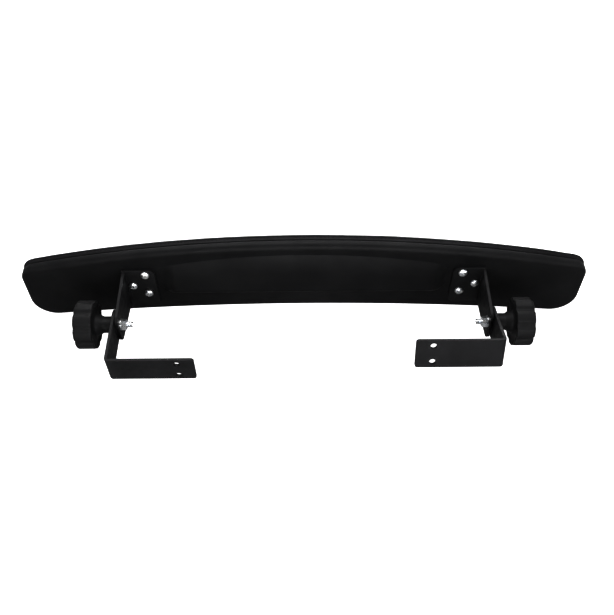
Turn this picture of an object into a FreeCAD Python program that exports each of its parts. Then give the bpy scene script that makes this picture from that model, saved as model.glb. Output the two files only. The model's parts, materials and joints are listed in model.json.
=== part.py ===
# Chair headrest attachment: a wide arched pad on two tilting foot brackets.
#
# The pad stands upright, its arched edge up (+Z), its cushion forward (+Y), its width along X.
# Every sub-part is drawn from a datum on the moulded back face, at the crown of the arched top
# edge, and is then moved so that the origin is under the middle of the whole, at its lowest point.
# A steel bracket behind each end of the pad carries a foot bracket on one cross bolt.
# The bolt is the stud of a clamping knob, so turning the knob frees or locks the tilt.

import FreeCAD, Part
import Sketcher
import math
import os
from FreeCAD import Placement, Rotation, Vector

doc = FreeCAD.newDocument("headrest_attachment")
sheet = doc.addObject("Spreadsheet::Sheet", "Sizes")

# Driving dimensions in millimetres and degrees.
SIZES = {
    # pad outline
    "pad_width": 600, "pad_height": 95, "top_rise": 36, "bottom_rise": 17,
    "top_corner": 18, "bottom_corner": 25,
    # pad layers, front to back
    "shell_depth": 9, "shell_wall": 2.5, "shell_edge": 6, "pad_front": 20,
    "cover_gap": 0.5, "cover_thick": 1, "cover_edge": 6,
    "board_thick": 6, "board_inset": 4.5,
    # raised spine on the back of the shell: foot outline, then crown outline
    "spine_height": 8, "spine_foot_half": 151, "spine_foot_top": 13, "spine_foot_rise": 17,
    "spine_foot_bottom": 72, "spine_foot_corner": 16,
    "spine_crown_half": 141, "spine_crown_top": 23, "spine_crown_rise": 14,
    "spine_crown_bottom": 66, "spine_crown_corner": 12, "spine_bottom_rise": 2, "spine_wall": 2,
    "spine_edge": 2.5,
    # pad brackets
    "plate_thick": 3, "plate_inner": 157, "plate_outer": 191, "plate_top": 33, "plate_bottom": 88,
    "plate_corner": 7, "flange_reach": 65, "flange_root_top": 35, "flange_root_bottom": 83,
    "flange_end_top": 38, "flange_end_bottom": 74, "flange_corner": 9, "bend_inside": 1,
    "edge_ease": 0.4,
    # bracket screws and their tee nuts
    "screw_near": 167, "screw_far": 182, "screw_high": 39, "screw_middle": 56, "screw_low": 68,
    "screw_across": 5, "screw_head": 9.4, "screw_head_height": 3.6, "screw_length": 12,
    "screw_slot": 1.1, "screw_slot_span": 5, "screw_slot_depth": 1.8, "screw_hole": 5.5,
    "tee_flange": 15, "tee_flange_thick": 1, "tee_barrel": 6.6, "tee_bore": 5.1, "tee_hole": 6.8,
    # pivot
    "pivot_behind": 56, "pivot_below": 55, "pivot_hole": 6.2, "stud_across": 6, "stud_tip": 175.6,
    "nut_flats": 10, "nut_thick": 5, "nut_bore": 6.1,
    "nut_washer_across": 12, "nut_washer_thick": 1.2,
    "friction_washer_across": 22, "friction_washer_thick": 0.5,
    "clamp_washer_across": 18, "clamp_washer_thick": 1.6, "washer_bore": 6.4,
    # foot brackets
    "strip_width": 32, "strip_thick": 3, "arm_reach": 56, "foot_reach": 87, "arm_end": 15,
    "foot_corner": 3, "foot_hole": 6.5, "foot_hole_spacing": 18.5, "foot_hole_reach": 70,
    "left_tilt": 0, "right_tilt": 19.5,
    # clamping knobs
    "knob_across": 50, "knob_thick": 19, "knob_face": 212.6, "knob_round": 2.5,
    "knob_inner_round": 0.8, "hub_tip": 17, "hub_root": 24, "lobe_count": 9, "lobe_cut": 8, "lobe_depth": 2.2,
    "head_seat": 8, "head_flats": 10, "head_thick": 4, "head_room": 0.1, "stud_room": 0.05,
    "cap_across": 20, "cap_thick": 2,
}
for row, (alias, amount) in enumerate(SIZES.items(), start=1):
    sheet.set(f"A{row}", alias)
    sheet.set(f"B{row}", str(amount))
    sheet.setAlias(f"B{row}", alias)
doc.recompute()


def size(alias):
    """The number in a cell of the sheet."""
    return float(sheet.get(alias))


def number(expression):
    """The value of an expression in the sheet's cells."""
    result = sheet.evalExpression(expression)
    return float(getattr(result, "Value", result))


def cell(alias):
    """A cell, written as other objects' expressions refer to it."""
    return f"Sizes.{alias}"


# ---------------------------------------------------------------- PartDesign helpers

def new_body(name):
    body = doc.addObject("PartDesign::Body", name)
    body.Label = name
    return body


def sketch_on(body, name, role, lift="0"):
    """A sketch on one of the body's own origin planes, lifted along the plane's normal."""
    plane = next(p for p in body.Origin.OriginFeatures if p.Role == role)
    sketch = body.newObject("Sketcher::SketchObject", name)
    sketch.AttachmentSupport = [(plane, "")]
    sketch.MapMode = "FlatFace"
    sketch.setExpression("AttachmentOffset.Base.z", lift)
    return sketch


def bind(sketch, label, constraint, expression):
    """Add a dimension to a sketch and drive it from the sheet."""
    index = sketch.addConstraint(constraint)
    sketch.renameConstraint(index, label)
    sketch.setExpression(f"Constraints.{label}", expression)


def polygon(body, name, role, corners, lift="0"):
    """A closed outline through corners given as pairs of expressions."""
    sketch = sketch_on(body, name, role, lift)
    points = [Vector(number(x), number(y), 0) for x, y in corners]
    count = len(points)
    for i, point in enumerate(points):
        sketch.addGeometry(Part.LineSegment(point, points[(i + 1) % count]), False)
    for i in range(count):
        sketch.addConstraint(Sketcher.Constraint("Coincident", i, 2, (i + 1) % count, 1))
    for i, ((x, y), point) in enumerate(zip(corners, points)):
        bind(sketch, f"x{i}", Sketcher.Constraint("DistanceX", -1, 1, i, 1, point.x), x)
        bind(sketch, f"y{i}", Sketcher.Constraint("DistanceY", -1, 1, i, 1, point.y), y)
    return sketch


def circles(body, name, role, places, across, lift="0"):
    """Equal circles with centres given as pairs of expressions."""
    sketch = sketch_on(body, name, role, lift)
    for i, (x, y) in enumerate(places):
        centre = Vector(number(x), number(y), 0)
        circle = Part.Circle(centre, Vector(0, 0, 1), number(across) / 2)
        sketch.addGeometry(circle, False)
        bind(sketch, f"x{i}", Sketcher.Constraint("DistanceX", -1, 1, i, 3, centre.x), x)
        bind(sketch, f"y{i}", Sketcher.Constraint("DistanceY", -1, 1, i, 3, centre.y), y)
        bind(sketch, f"across{i}", Sketcher.Constraint("Diameter", i, number(across)), across)
    return sketch


def arched(body, name, shape, lift="0"):
    """An arched outline: top and bottom arcs, two upright ends and four round corners.

    shape holds expressions: half (half width), top and bottom (how far the arcs' crowns lie
    below the origin), their radii, and the upper and lower corner radii.
    """
    sketch = sketch_on(body, name, "XZ_Plane", lift)
    half, top, bottom = (number(shape[key]) for key in ("half", "top", "bottom"))
    top_radius, bottom_radius = number(shape["top_radius"]), number(shape["bottom_radius"])
    upper, lower = number(shape["upper"]), number(shape["lower"])
    top_centre = Vector(0, -top - top_radius, 0)
    bottom_centre = Vector(0, -bottom - bottom_radius, 0)
    upper_rise = math.sqrt((top_radius - upper) ** 2 - (half - upper) ** 2)
    lower_rise = math.sqrt((bottom_radius + lower) ** 2 - (half - lower) ** 2)
    upper_centre = top_centre + Vector(half - upper, upper_rise, 0)
    lower_centre = bottom_centre + Vector(half - lower, lower_rise, 0)
    top_angle = math.atan2(upper_rise, half - upper)
    bottom_angle = math.atan2(lower_rise, half - lower)

    def arc(centre, radius, start, end):
        circle = Part.Circle(centre, Vector(0, 0, 1), radius)
        sketch.addGeometry(Part.ArcOfCircle(circle, start, end), False)

    def mirrored(point):
        return Vector(-point.x, point.y, 0)

    edge = Vector(half, 0, 0)
    high = Vector(0, upper_centre.y, 0)
    low = Vector(0, lower_centre.y, 0)
    arc(top_centre, top_radius, top_angle, math.pi - top_angle)
    arc(upper_centre, upper, 0, top_angle)
    sketch.addGeometry(Part.LineSegment(edge + high, edge + low), False)
    arc(lower_centre, lower, bottom_angle - math.pi, 0)
    arc(bottom_centre, bottom_radius, bottom_angle, math.pi - bottom_angle)
    arc(mirrored(lower_centre), lower, math.pi, 2 * math.pi - bottom_angle)
    sketch.addGeometry(Part.LineSegment(low - edge, high - edge), False)
    arc(mirrored(upper_centre), upper, math.pi - top_angle, math.pi)

    start, end, centre = 1, 2, 3
    joins = [(0, start, 1, end), (1, start, 2, start), (2, end, 3, end), (3, start, 4, start),
             (4, end, 5, end), (5, start, 6, start), (6, end, 7, end), (7, start, 0, end)]
    for join in joins:
        sketch.addConstraint(Sketcher.Constraint("Tangent", *join))
    for side in (2, 6):
        sketch.addConstraint(Sketcher.Constraint("Vertical", side))
    for curve in (0, 4):
        sketch.addConstraint(Sketcher.Constraint("PointOnObject", curve, centre, -2))
    radii = {0: "top_radius", 1: "upper", 3: "lower", 4: "bottom_radius", 5: "lower", 7: "upper"}
    for curve, key in radii.items():
        limit = Sketcher.Constraint("Radius", curve, number(shape[key]))
        bind(sketch, f"radius{curve}", limit, shape[key])
    for curve, key in ((0, "top"), (4, "bottom")):
        depth = f"({shape[key]}) + ({shape[key + '_radius']})"
        drop = Sketcher.Constraint("DistanceY", curve, centre, -1, 1, number(depth))
        bind(sketch, f"{key}_depth", drop, depth)
    bind(sketch, "right", Sketcher.Constraint("DistanceX", -1, 1, 2, start, half), shape["half"])
    bind(sketch, "left", Sketcher.Constraint("DistanceX", 6, start, -1, 1, half), shape["half"])
    return sketch


def pad(body, name, sketch, length, against=False, both_ways=False):
    """Pad a sketch along its normal, or against it. The normal of an XZ plane is -Y."""
    feature = body.newObject("PartDesign::Pad", name)
    feature.Profile = sketch
    feature.setExpression("Length", length)
    feature.Reversed = against
    feature.Midplane = both_ways
    doc.recompute()
    return feature


def pocket(body, name, sketch, length=None, along_normal=False):
    """Cut a sketch against its normal or along it to a length, or through everything both ways."""
    before = body.Shape.Volume
    feature = body.newObject("PartDesign::Pocket", name)
    feature.Profile = sketch
    if length is None:
        feature.Type = "ThroughAll"
        feature.Midplane = True
    else:
        feature.setExpression("Length", length)
        feature.Reversed = along_normal
    doc.recompute()
    assert body.Shape.Volume < before, f"{name} cuts nothing"
    return feature


def fillet(body, name, radius, wanted):
    """Round the edges for which wanted(edge) is true."""
    base = body.Tip
    edges = [f"Edge{i}" for i, edge in enumerate(base.Shape.Edges, start=1) if wanted(edge)]
    assert edges, f"{name} finds no edges"
    feature = body.newObject("PartDesign::Fillet", name)
    feature.Base = (base, edges)
    feature.setExpression("Radius", radius)
    doc.recompute()
    return feature


def loft(body, kind, name, first, second):
    """Loft between two sketches; kind is Additive or Subtractive."""
    before = body.Shape.Volume
    feature = body.newObject(f"PartDesign::{kind}Loft", name)
    feature.Profile = first
    feature.Sections = [second]
    feature.Ruled = True
    doc.recompute()
    assert body.Shape.Volume != before, f"{name} changes nothing"
    return feature


def in_plane(edge, axis, level):
    """Does the whole edge lie at this level of an axis, given as 0, 1 or 2 for X, Y or Z?"""
    ends = [edge.valueAt(edge.FirstParameter), edge.valueAt(edge.LastParameter)]
    return all(abs(point[axis] - level) < 0.01 for point in ends + [edge.CenterOfMass])


def along(edge, axis):
    """Is the edge straight and parallel to an axis?"""
    if edge.Curve.TypeId != "Part::GeomLine":
        return False
    return abs(abs(edge.Curve.Direction[axis]) - 1) < 0.001


def open_corner(shape, edge):
    """Does the edge run along a corner of the sheet, not round a hole or along a bend?"""
    faces = shape.ancestorsOfType(edge, Part.Face)
    if edge.Closed or len(faces) != 2:
        return False
    middle = edge.valueAt((edge.FirstParameter + edge.LastParameter) / 2)
    first, second = (face.normalAt(*face.Surface.parameter(middle)) for face in faces)
    return first.getAngle(second) > 0.5


# ---------------------------------------------------------------- Part primitive helpers

SIDES = (("left", -1), ("right", 1))
PIVOT_Y = -size("pivot_behind")
PIVOT_Z = -size("pivot_below")


def outward(side):
    """Turns local +Z outward along X, away from the middle of the pad."""
    return Rotation(Vector(0, 1, 0), 90 * side)


def on_pivot(side, across):
    """A place on the pivot axis, this far from the middle of the pad, with +Z outward."""
    return Placement(Vector(side * across, PIVOT_Y, PIVOT_Z), outward(side))


def cylinder(name, across, height, base=Vector(0, 0, 0)):
    rod = doc.addObject("Part::Cylinder", name)
    rod.setExpression("Radius", f"({across}) / 2")
    rod.setExpression("Height", height)
    rod.Placement.Base = base
    return rod


def hexagon(name, flats, height, base=Vector(0, 0, 0)):
    prism = doc.addObject("Part::Prism", name)
    prism.Polygon = 6
    prism.setExpression("Circumradius", f"({flats}) / 2 / cos(30 deg)")
    prism.setExpression("Height", height)
    prism.Placement.Base = base
    return prism


def cut(name, base, tool):
    result = doc.addObject("Part::Cut", name)
    result.Base = base
    result.Tool = tool
    result.Label = name
    return result


def fuse(name, pieces):
    result = doc.addObject("Part::MultiFuse", name)
    result.Shapes = pieces
    result.Label = name
    return result


def group(name, pieces):
    """Separate solids in one node."""
    result = doc.addObject("Part::Compound", name)
    result.Links = pieces
    result.Label = name
    return result


def washer(name, across, thick, bore, place):
    disc = cylinder(f"{name}_disc", across, thick)
    hole = cylinder(f"{name}_hole", bore, thick)
    ring = cut(name, disc, hole)
    ring.Placement = place
    return ring


# ---------------------------------------------------------------- pad

def arc_radius(half, rise):
    """The radius of an arc that rises this much over this half width, as an expression."""
    return f"(({half})^2 + ({rise})^2) / (2 * ({rise}))"


def pad_outline(inset="0"):
    """The pad's outline, drawn in by an inset."""
    half = f"{cell('pad_width')} / 2"
    return {
        "half": f"{half} - {inset}",
        "top": inset,
        "bottom": f"{cell('pad_height')} - {inset}",
        "top_radius": f"{arc_radius(half, cell('top_rise'))} - {inset}",
        "bottom_radius": f"{arc_radius(half, cell('bottom_rise'))} + {inset}",
        "upper": f"{cell('top_corner')} - {inset}",
        "lower": f"{cell('bottom_corner')} - {inset}",
    }


def spine_outline(level, inset="0"):
    """The raised spine's outline at its foot or its crown, drawn in by an inset."""
    half = f"{cell(f'spine_{level}_half')}"
    return {
        "half": f"{half} - {inset}",
        "top": f"{cell(f'spine_{level}_top')} + {inset}",
        "bottom": f"{cell(f'spine_{level}_bottom')} - {inset}",
        "top_radius": f"{arc_radius(half, cell(f'spine_{level}_rise'))} - {inset}",
        "bottom_radius": f"{arc_radius(half, cell('spine_bottom_rise'))} + {inset}",
        "upper": f"{cell(f'spine_{level}_corner')} - {inset}",
        "lower": f"{cell(f'spine_{level}_corner')} - {inset}",
    }


SCREWS = (("screw_near", "screw_high"), ("screw_near", "screw_low"), ("screw_far", "screw_middle"))


def screw_places(*sides):
    """The screw centres on the given sides, as pairs of expressions for X and Z."""
    return [(f"{side} * {cell(x)}", f"-{cell(z)}") for side in sides for x, z in SCREWS]


def make_back_shell():
    """A moulded tray with a hollow raised spine along the middle of its back."""
    body = new_body("back_shell")
    pad(body, "shell_block", arched(body, "shell_outline", pad_outline()), cell("shell_depth"), True)
    fillet(body, "shell_back_edge", cell("shell_edge"), lambda edge: in_plane(edge, 1, 0))
    foot = arched(body, "spine_foot", spine_outline("foot"))
    crown = arched(body, "spine_crown", spine_outline("crown"), cell("spine_height"))
    loft(body, "Additive", "spine", foot, crown)
    crown_y = -size("spine_height")
    fillet(body, "spine_edge", cell("spine_edge"), lambda edge: in_plane(edge, 1, crown_y))
    wall = cell("shell_wall")
    inside = arched(body, "shell_inside", pad_outline(wall), f"-{cell('shell_depth')}")
    pocket(body, "shell_hollow", inside, f"{cell('shell_depth')} - {wall}", True)
    floor_y = size("shell_wall")
    fillet(body, "shell_inner_edge", f"{cell('shell_edge')} - {wall}",
           lambda edge: in_plane(edge, 1, floor_y))
    inner_foot = arched(body, "spine_inner_foot", spine_outline("foot", cell("spine_wall")), f"-{wall}")
    inner_crown = arched(body, "spine_inner_crown", spine_outline("crown", cell("spine_wall")),
                         f"{cell('spine_height')} - {cell('spine_wall')}")
    loft(body, "Subtractive", "spine_hollow", inner_foot, inner_crown)
    holes = circles(body, "shell_holes", "XZ_Plane", screw_places(-1, 1), cell("screw_hole"))
    pocket(body, "shell_drilling", holes)
    return body


def make_backing_board():
    """A flat board inside the shell, drilled and counterbored for the tee nuts."""
    body = new_body("backing_board")
    rear = f"-({cell('shell_depth')} - {cell('board_thick')})"
    outline = arched(body, "board_outline", pad_outline(cell("board_inset")), rear)
    pad(body, "board", outline, cell("board_thick"), True)
    places = screw_places(-1, 1)
    holes = circles(body, "board_holes", "XZ_Plane", places, cell("tee_hole"))
    pocket(body, "board_drilling", holes)
    front = f"-{cell('shell_depth')}"
    room = f"{cell('tee_flange')} + 1"
    rebates = circles(body, "board_rebates", "XZ_Plane", places, room, front)
    pocket(body, "board_counterbore", rebates, cell("tee_flange_thick"), True)
    return body


def cushion_block(name, inset, front, edge):
    """A block on the pad's outline, from the seam to the front, with a round front edge."""
    body = new_body(name)
    outline = arched(body, f"{name}_outline", pad_outline(inset), f"-{cell('shell_depth')}")
    pad(body, f"{name}_pad", outline, f"{front} - {cell('shell_depth')}", True)
    fillet(body, f"{name}_edge", edge, lambda side: in_plane(side, 1, number(front)))
    return body


def make_cushion():
    """The foam, and the upholstery that wraps it."""
    skin = cell("cover_thick")
    inner_inset = f"({cell('cover_gap')} + {skin})"
    inner = (inner_inset, f"({cell('pad_front')} - {skin})", f"{cell('cover_edge')} - {skin}")
    foam = cushion_block("foam_pad", *inner)
    outer = cushion_block("cover_outside", cell("cover_gap"), cell("pad_front"), cell("cover_edge"))
    return [foam, cut("front_cover", outer, cushion_block("cover_inside", *inner))]


# ---------------------------------------------------------------- pad brackets

def make_right_bracket():
    """A bent plate: it lies on the shell's back, and its flange stands out behind."""
    body = new_body("right_pad_bracket")
    thick, inner, outer = cell("plate_thick"), cell("plate_inner"), cell("plate_outer")
    high, low = f"-{cell('plate_top')}", f"-{cell('plate_bottom')}"
    plate = polygon(body, "plate_outline", "XZ_Plane",
                    [(inner, low), (outer, low), (outer, high), (inner, high)])
    pad(body, "plate", plate, thick)
    flange = polygon(body, "flange_outline", "YZ_Plane", [
        ("0", f"-{cell('flange_root_bottom')}"),
        ("0", f"-{cell('flange_root_top')}"),
        (f"-{cell('flange_reach')}", f"-{cell('flange_end_top')}"),
        (f"-{cell('flange_reach')}", f"-{cell('flange_end_bottom')}"),
    ], f"{outer} - {thick}")
    pad(body, "flange", flange, thick)
    inner_x = size("plate_inner")
    fillet(body, "plate_corners", cell("plate_corner"),
           lambda edge: along(edge, 1) and in_plane(edge, 0, inner_x))
    end_y = -size("flange_reach")
    fillet(body, "flange_corners", cell("flange_corner"),
           lambda edge: along(edge, 0) and in_plane(edge, 1, end_y))
    inside_x = size("plate_outer") - size("plate_thick")
    fillet(body, "bend", cell("bend_inside"),
           lambda edge: along(edge, 2) and in_plane(edge, 0, inside_x)
           and in_plane(edge, 1, -size("plate_thick")))
    holes = circles(body, "plate_holes", "XZ_Plane", screw_places(1), cell("screw_hole"))
    pocket(body, "plate_drilling", holes)
    pivot = [(f"-{cell('pivot_behind')}", f"-{cell('pivot_below')}")]
    bore = circles(body, "pivot_hole_outline", "YZ_Plane", pivot, cell("pivot_hole"))
    pocket(body, "pivot_drilling", bore)
    drilled, outer_x, rear_y = body.Tip.Shape, size("plate_outer"), -size("plate_thick")
    fillet(body, "plate_eased", cell("edge_ease"), lambda edge: open_corner(drilled, edge)
           and (in_plane(edge, 0, outer_x) or in_plane(edge, 1, rear_y)))
    return body


def make_left_bracket(right):
    """The mirror image of the right bracket."""
    mirror = doc.addObject("Part::Mirroring", "left_pad_bracket")
    mirror.Source = right
    mirror.Normal = Vector(1, 0, 0)
    mirror.Label = "left_pad_bracket"
    return mirror


def make_screw(name, place):
    """A pan-head machine screw with a cross recess; local +Z points out of its head."""
    head = cylinder(f"{name}_head", cell("screw_head"), cell("screw_head_height"))
    rounded = doc.addObject("Part::Fillet", f"{name}_pan")
    rounded.Base = head
    doc.recompute()
    top_edge = 1 + next(i for i, edge in enumerate(head.Shape.Edges)
                        if in_plane(edge, 2, size("screw_head_height")))
    radius = size("screw_head_height") * 0.6
    rounded.Edges = [(top_edge, radius, radius)]
    shank = cylinder(f"{name}_shank", cell("screw_across"), cell("screw_length"),
                     Vector(0, 0, -size("screw_length")))
    blank = fuse(f"{name}_blank", [rounded, shank])
    slots = []
    cross = (("screw_slot", "screw_slot_span"), ("screw_slot_span", "screw_slot"))
    for way, (wide, deep) in enumerate(cross):
        slot = doc.addObject("Part::Box", f"{name}_slot{way}")
        slot.setExpression("Length", cell(wide))
        slot.setExpression("Width", cell(deep))
        slot.setExpression("Height", cell("screw_slot_depth"))
        floor = size("screw_head_height") - size("screw_slot_depth")
        slot.Placement.Base = Vector(-size(wide) / 2, -size(deep) / 2, floor)
        slots.append(slot)
    screw = cut(name, blank, fuse(f"{name}_recess", slots))
    screw.Placement = place
    return screw


def make_tee_nut(name, place):
    """A flanged barrel nut; local +Z points back along the screw, out of its barrel."""
    flange = cylinder(f"{name}_flange", cell("tee_flange"), cell("tee_flange_thick"))
    barrel = cylinder(f"{name}_barrel", cell("tee_barrel"), cell("board_thick"))
    bore = cylinder(f"{name}_bore", cell("tee_bore"), cell("board_thick"))
    nut = cut(name, fuse(f"{name}_blank", [flange, barrel]), bore)
    nut.Placement = place
    return nut


def make_fasteners(side_name, side):
    """The three plate screws and tee nuts of one bracket, one node each."""
    backward = Rotation(Vector(1, 0, 0), 90)
    screws, nuts = [], []
    for i, place in enumerate(screw_places(side)):
        x, z = (number(part) for part in place)
        head = Placement(Vector(x, -size("plate_thick"), z), backward)
        screws.append(make_screw(f"{side_name}_screw{i}", head))
        seat = Placement(Vector(x, size("shell_depth"), z), backward)
        nuts.append(make_tee_nut(f"{side_name}_tee{i}", seat))
    return [group(f"{side_name}_plate_screws", screws), group(f"{side_name}_tee_nuts", nuts)]


# ---------------------------------------------------------------- pivot hardware

def flange_inside():
    """How far from the middle the flange's inner face is."""
    return size("plate_outer") - size("plate_thick")


def arm_inside():
    """How far from the middle the foot bracket's arm starts."""
    return size("plate_outer") + size("friction_washer_thick")


def make_pivot_nut(side_name, side):
    """A hexagon nut with chamfered corners, and the plain washer under it."""
    name = f"{side_name}_pivot_nut"
    across_corners = f"{cell('nut_flats')} / cos(30 deg)"
    prism = hexagon(f"{name}_prism", cell("nut_flats"), cell("nut_thick"))
    turned = doc.addObject("Part::Chamfer", f"{name}_turned")
    blank = cylinder(f"{name}_round", across_corners, cell("nut_thick"))
    doc.recompute()
    corner = number(f"({across_corners} - {cell('nut_flats')}) / 2")
    rims = [i for i, edge in enumerate(blank.Shape.Edges, start=1)
            if in_plane(edge, 2, 0) or in_plane(edge, 2, size("nut_thick"))]
    turned.Base = blank
    turned.Edges = [(i, corner / 2, corner) for i in rims]
    shaped = doc.addObject("Part::Common", f"{name}_shaped")
    shaped.Base = prism
    shaped.Tool = turned
    nut = cut(name, shaped, cylinder(f"{name}_bore", cell("nut_bore"), cell("nut_thick")))
    washer_at = flange_inside() - size("nut_washer_thick")
    nut.Placement = on_pivot(side, washer_at - size("nut_thick"))
    ring = washer(f"{side_name}_nut_washer", cell("nut_washer_across"), cell("nut_washer_thick"),
                  cell("washer_bore"), on_pivot(side, washer_at))
    return [nut, ring]


def make_arm(side_name, side):
    """The foot bracket: a strip bent square, with the pivot hole at one end and feet holes."""
    body = new_body(f"{side_name}_foot_bracket")
    thick, reach = cell("strip_thick"), cell("arm_reach")
    foot_end = f"{thick} - {cell('foot_reach')}"
    profile = polygon(body, f"{side_name}_strip_profile", "XY_Plane", [
        ("0", cell("arm_end")), (thick, cell("arm_end")),
        (thick, f"-{reach}"), (foot_end, f"-{reach}"),
        (foot_end, f"{thick} - {reach}"), ("0", f"{thick} - {reach}"),
    ])
    pad(body, f"{side_name}_strip", profile, cell("strip_width"), both_ways=True)
    fillet(body, f"{side_name}_inner_bend", cell("bend_inside"),
           lambda edge: along(edge, 2) and in_plane(edge, 0, 0)
           and in_plane(edge, 1, size("strip_thick") - size("arm_reach")))
    fillet(body, f"{side_name}_outer_bend", f"{cell('bend_inside')} + {thick}",
           lambda edge: along(edge, 2) and in_plane(edge, 0, size("strip_thick"))
           and in_plane(edge, 1, -size("arm_reach")))
    fillet(body, f"{side_name}_arm_round", f"{cell('strip_width')} / 2 - 1",
           lambda edge: along(edge, 0) and in_plane(edge, 1, size("arm_end")))
    tip_x = number(foot_end)
    fillet(body, f"{side_name}_foot_corners", cell("foot_corner"),
           lambda edge: along(edge, 1) and in_plane(edge, 0, tip_x))
    bore = circles(body, f"{side_name}_arm_hole", "YZ_Plane", [("0", "0")], cell("pivot_hole"))
    pocket(body, f"{side_name}_arm_drilling", bore)
    half_gap = f"{cell('foot_hole_spacing')} / 2"
    hole_x = f"{thick} - {cell('foot_hole_reach')}"
    places = [(hole_x, half_gap), (hole_x, f"-{half_gap}")]
    holes = circles(body, f"{side_name}_foot_holes", "XZ_Plane", places, cell("foot_hole"))
    pocket(body, f"{side_name}_foot_drilling", holes)
    drilled = body.Tip.Shape
    fillet(body, f"{side_name}_eased", cell("edge_ease"),
           lambda edge: open_corner(drilled, edge))
    # The left one is the same piece turned over about its arm. Tilt swings the foot upward.
    facing = Rotation(Vector(0, 1, 0), 0 if side > 0 else 180)
    tilt = Rotation(Vector(1, 0, 0), -size(f"{side_name}_tilt"))
    body.Placement = Placement(Vector(side * arm_inside(), PIVOT_Y, PIVOT_Z), tilt * facing)
    spacer = washer(f"{side_name}_friction_washer", cell("friction_washer_across"),
                    cell("friction_washer_thick"), cell("pivot_hole"),
                    on_pivot(side, size("plate_outer")))
    return [body, spacer]


# ---------------------------------------------------------------- clamping knobs

def make_knob(side_name, side):
    """A lobed hand knob on the stud that clamps the foot bracket to the flange."""
    washer_at = arm_inside() + size("strip_thick")
    ring = washer(f"{side_name}_clamp_washer", cell("clamp_washer_across"),
                  cell("clamp_washer_thick"), cell("washer_bore"), on_pivot(side, washer_at))

    body = new_body(f"{side_name}_knob")
    hub_tip = washer_at + size("clamp_washer_thick") - size("knob_face")
    bore = f"({cell('stud_across')} + {cell('stud_room')}) / 2"
    head_corner = f"{cell('head_flats')} / 2 / cos(30 deg) + {cell('head_room')}"
    cap_floor = f"{cell('knob_thick')} - {cell('cap_thick')}"
    profile = polygon(body, f"{side_name}_knob_profile", "XZ_Plane", [
        (bore, str(hub_tip)), (f"{cell('hub_tip')} / 2", str(hub_tip)),
        (f"{cell('hub_tip')} / 2", f"{hub_tip} / 2"), (f"{cell('hub_root')} / 2", "0"),
        (f"{cell('knob_across')} / 2", "0"),
        (f"{cell('knob_across')} / 2", cell("knob_thick")),
        (f"{cell('cap_across')} / 2", cell("knob_thick")),
        (f"{cell('cap_across')} / 2", cap_floor), (head_corner, cap_floor),
        (head_corner, cell("head_seat")), (bore, cell("head_seat")),
    ])
    turned = body.newObject("PartDesign::Revolution", f"{side_name}_knob_turned")
    turned.Profile = profile
    turned.ReferenceAxis = (profile, ["V_Axis"])
    doc.recompute()
    rim = size("knob_across") / 2
    lobe_x = f"({cell('knob_across')} + {cell('lobe_cut')}) / 2 - {cell('lobe_depth')}"
    scallop = circles(body, f"{side_name}_scallop", "XY_Plane", [(lobe_x, "0")], cell("lobe_cut"),
                      cell("knob_thick"))
    first_cut = pocket(body, f"{side_name}_scallop_cut", scallop, cell("knob_thick"))
    pattern = body.newObject("PartDesign::PolarPattern", f"{side_name}_lobes")
    pattern.Originals = [first_cut]
    pattern.Axis = (scallop, ["N_Axis"])
    pattern.Angle = 360
    pattern.setExpression("Occurrences", cell("lobe_count"))
    body.Tip = pattern
    doc.recompute()

    def on_rim(edge, level):
        far = max(math.hypot(v.Point.x, v.Point.y) for v in edge.Vertexes)
        return in_plane(edge, 2, level) and far > rim - size("lobe_depth") - 1
    fillet(body, f"{side_name}_outer_edges", cell("knob_round"),
           lambda edge: on_rim(edge, size("knob_thick")))
    fillet(body, f"{side_name}_inner_edges", cell("knob_inner_round"),
           lambda edge: on_rim(edge, 0))
    body.Placement = on_pivot(side, size("knob_face"))

    name = f"{side_name}_knob_stud"
    tip = size("stud_tip") - size("knob_face")
    rod = cylinder(f"{name}_rod", cell("stud_across"), f"{cell('head_seat')} - ({tip})",
                   Vector(0, 0, tip))
    head = hexagon(f"{name}_head", cell("head_flats"), cell("head_thick"),
                   Vector(0, 0, size("head_seat")))
    stud = fuse(name, [rod, head])
    stud.Placement = on_pivot(side, size("knob_face"))

    cap = cylinder(f"{side_name}_knob_cap", f"{cell('cap_across')} - 2 * {cell('stud_room')}",
                   cell("cap_thick"))
    cap.Label = f"{side_name}_knob_cap"
    cap.Placement = on_pivot(side, size("knob_face") + size("knob_thick") - size("cap_thick"))
    return [ring, body, stud, cap]


# ---------------------------------------------------------------- assembly

def build():
    """Make every sub-part and return them."""
    right_bracket = make_right_bracket()
    nodes = [make_back_shell(), make_backing_board(), *make_cushion(), right_bracket,
             make_left_bracket(right_bracket)]
    for side_name, side in SIDES:
        nodes += make_fasteners(side_name, side)
        nodes += make_pivot_nut(side_name, side)
        nodes += make_arm(side_name, side)
        nodes += make_knob(side_name, side)
    doc.recompute()
    return nodes


def settle(nodes):
    """Move the whole so that the origin is under the middle of its box, at its lowest point."""
    box = Part.Compound([node.Shape for node in nodes]).optimalBoundingBox(False, False)
    shift = Vector(-box.Center.x, -box.Center.y, -box.ZMin)
    for node in nodes:
        if node.TypeId != "Part::Mirroring":
            node.Placement.Base += shift
    doc.recompute()
    print(f"datum at {shift.x:.4f}, {shift.y:.4f}, {shift.z:.4f} mm from the origin")


def check(nodes):
    """Stop if any object failed, or any sub-part has no sound shape."""
    for item in doc.Objects:
        assert not {"Invalid", "Error"} & set(item.State), f"{item.Label}: {item.State}"
    for node in nodes:
        shape = node.Shape
        assert not shape.isNull() and shape.isValid() and shape.Solids, f"{node.Label} is unsound"
        print(f"{node.Label}: {len(shape.Solids)} solids, {shape.Volume / 1000:.2f} cm3")


nodes = build()
settle(nodes)
check(nodes)
os.makedirs("parts", exist_ok=True)
for node in nodes:
    node.Shape.exportStep(f"parts/{node.Label}.step")
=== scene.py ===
import json
import math

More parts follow.
